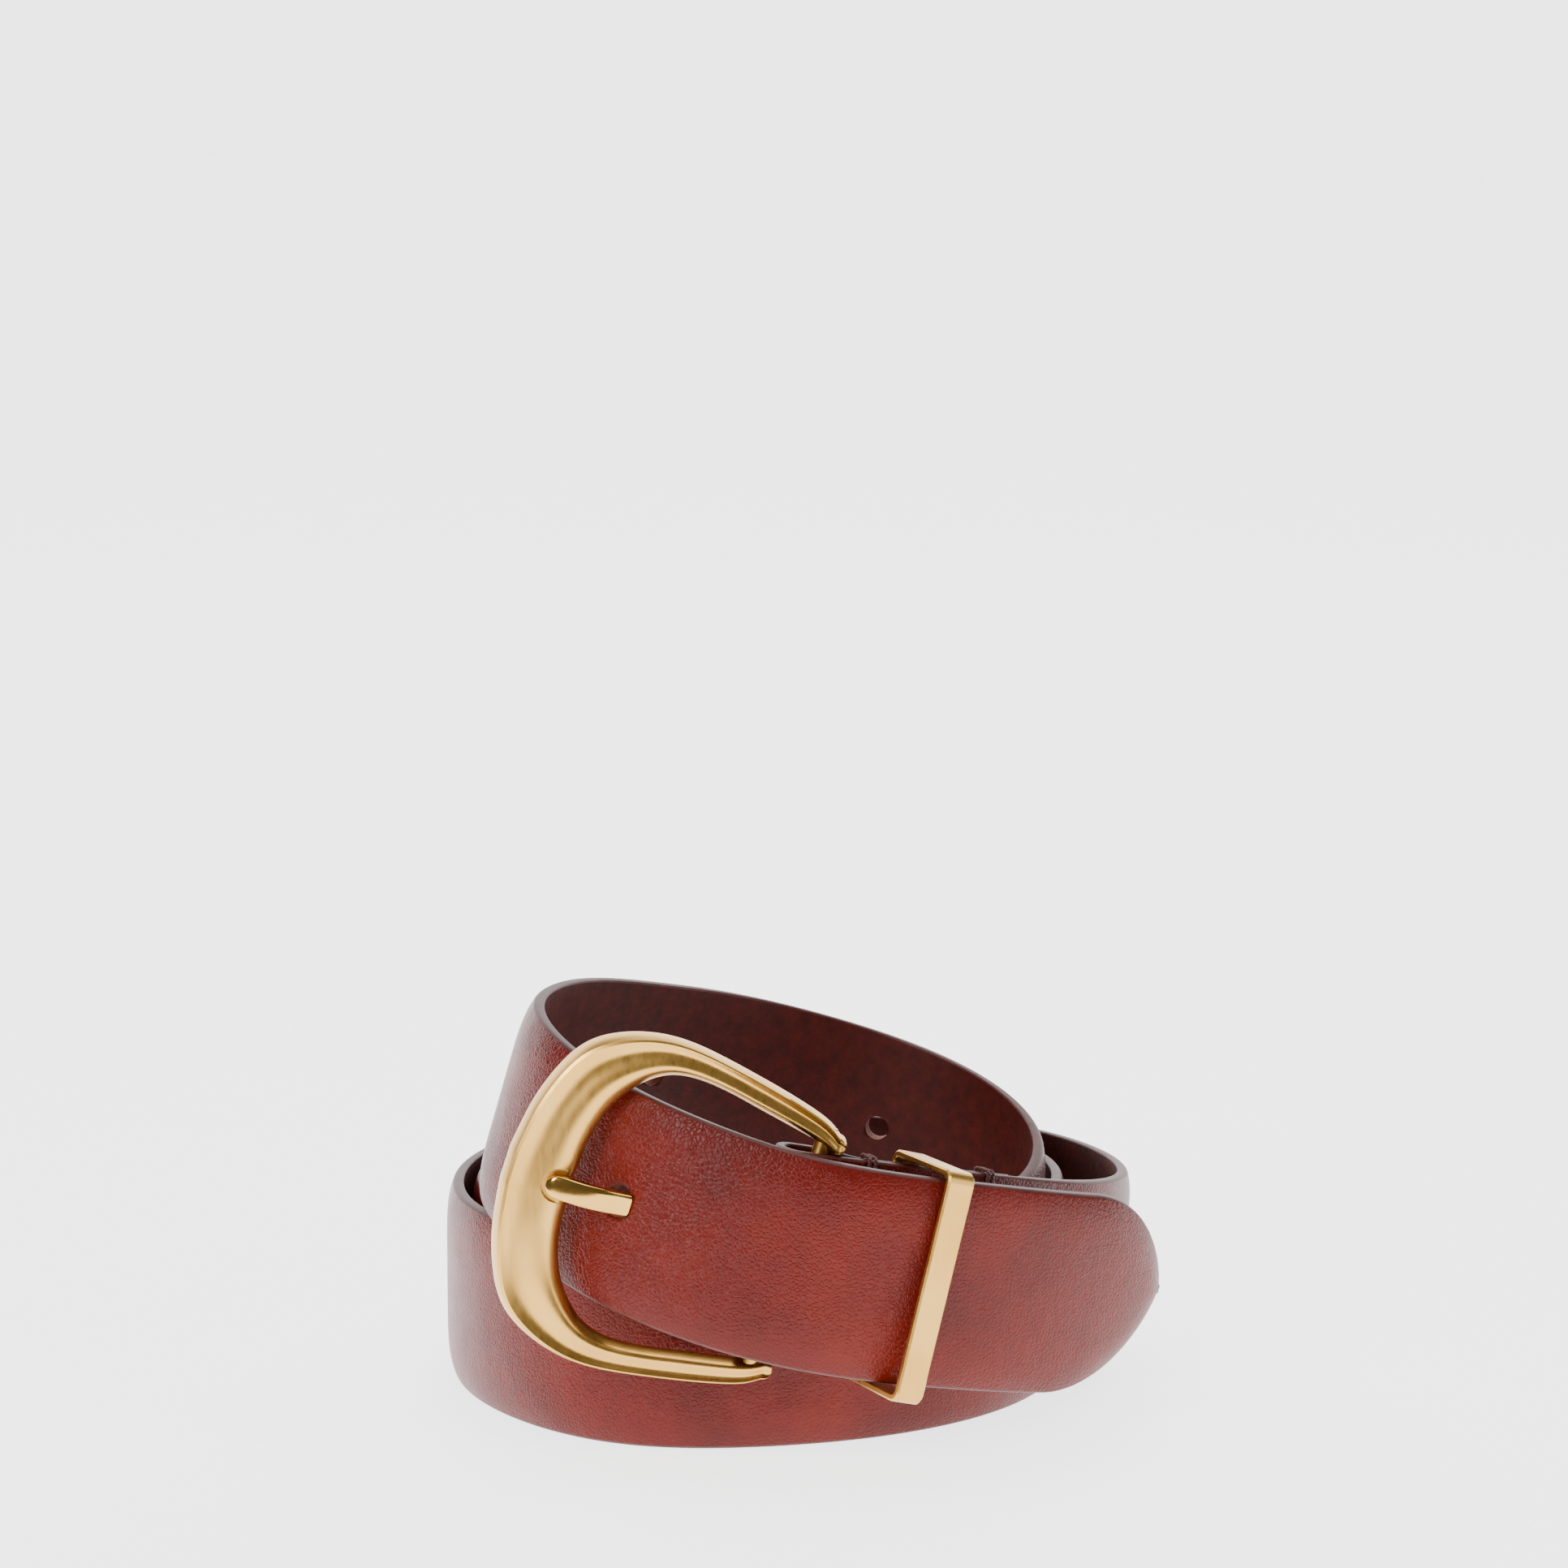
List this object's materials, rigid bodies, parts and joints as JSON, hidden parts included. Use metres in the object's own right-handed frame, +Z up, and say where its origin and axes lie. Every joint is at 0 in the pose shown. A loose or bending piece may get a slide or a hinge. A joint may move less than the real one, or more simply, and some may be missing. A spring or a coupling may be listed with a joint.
{
  "type": "leather belt",
  "caption": "Leather belt fastened and rolled into a standing coil, with a metal frame buckle, a prong through a punched hole, and a metal keeper.",
  "frame": {"origin": "on the floor, under the middle of the coil's bounding box", "axes": "+Z up, across the strap of the standing coil; -Y towards the front, which the buckle faces; +X to the right of someone looking at the buckle"},
  "size_m": [0.1424, 0.1512, 0.0821],
  "materials": {
    "leather": "semi-gloss, fine grain",
    "lining": "matt",
    "filler": "raw",
    "buckle": "satin, brushed",
    "bar": "satin",
    "prong": "polished",
    "keeper": "satin, brushed",
    "thread": "twisted"
  },
  "bodies": {
    "strap": {"strap_skin": "leather", "strap_lining": "lining", "strap_filler": "filler", "front_tie": "thread", "rear_tie": "thread"},
    "frame": {"buckle_frame": "buckle", "buckle_bar": "bar"},
    "prong": {"prong": "prong"},
    "keeper": {"keeper": "keeper"}
  },
  "joints": [
    {"name": "frame_hinge", "type": "hinge", "parent": "strap", "child": "frame", "pos_m": [-0.00162, -0.06397, 0.04066], "axis": [0.3103, 0.0327, 0.9501], "range_deg": [0, 0.5]},
    {"name": "prong_hinge", "type": "hinge", "parent": "strap", "child": "prong", "pos_m": [-0.00162, -0.06397, 0.04066], "axis": [0.3103, 0.0327, 0.9501], "range_deg": [0, 1.5]},
    {"name": "keeper_slide", "type": "slide", "parent": "strap", "child": "keeper", "axis": [0.9498, 0.2572, -0.178], "range_m": [-0.0015, 0.0015]}
  ]
}
